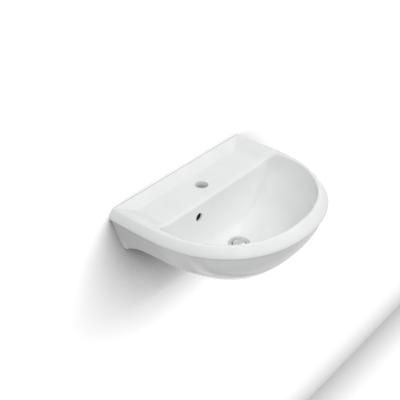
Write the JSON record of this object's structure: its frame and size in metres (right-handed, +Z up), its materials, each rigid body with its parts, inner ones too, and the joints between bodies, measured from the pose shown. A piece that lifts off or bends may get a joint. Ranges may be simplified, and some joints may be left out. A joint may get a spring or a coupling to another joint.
{
  "type": "wall hung basin",
  "caption": "D-shaped wall hung wash basin in glazed china with one tap hole, an overflow, a sprung plug waste and its wall fixings.",
  "frame": {"origin": "middle of the rim's straight rear edge, on the wall plane and level with the rim's top", "axes": "+Z up, +Y into the wall, -Y out to the user, +X to the right of a user who faces the basin"},
  "size_m": [0.55, 0.489, 0.238],
  "materials": {
    "china": "white gloss glaze",
    "chromed_brass": "polished chrome on brass",
    "brass": "turned, unplated",
    "black_rubber": "moulded, matt",
    "white_nylon": "moulded",
    "zinc_steel": "zinc plated",
    "spring_steel": "drawn wire"
  },
  "bodies": {
    "basin": {"basin_body": "china", "waste_body": "chromed_brass", "waste_top_seal": "black_rubber", "waste_cone_washer": "black_rubber", "waste_slip_washer": "white_nylon", "waste_back_nut": "brass", "return_spring": "spring_steel", "cartridge_barrel": "white_nylon", "cartridge_collar": "white_nylon", "cartridge_nut": "brass", "wall_studs": "zinc_steel", "fixing_bushes": "white_nylon", "fixing_washers": "zinc_steel", "fixing_nuts": "zinc_steel", "fixing_caps": "white_nylon"},
    "plug": {"plug_cap": "chromed_brass", "plug_seal": "black_rubber", "plug_stem": "brass"},
    "rotor": {"index_rotor": "white_nylon"}
  },
  "joints": [
    {"name": "plug_slide", "type": "slide", "parent": "basin", "child": "plug", "axis": [0, 0, 1], "range_m": [0, 0.007], "deforming": ["return_spring"]},
    {"name": "rotor_index", "type": "hinge", "parent": "plug", "child": "rotor", "pos_m": [0, -0.214, -0.18], "axis": [0, 0, 1], "range_deg": [0, 45]}
  ],
  "couplings": [
    {"joint": "rotor_index", "follows": "plug_slide", "rad_per_m": 112.2}
  ]
}
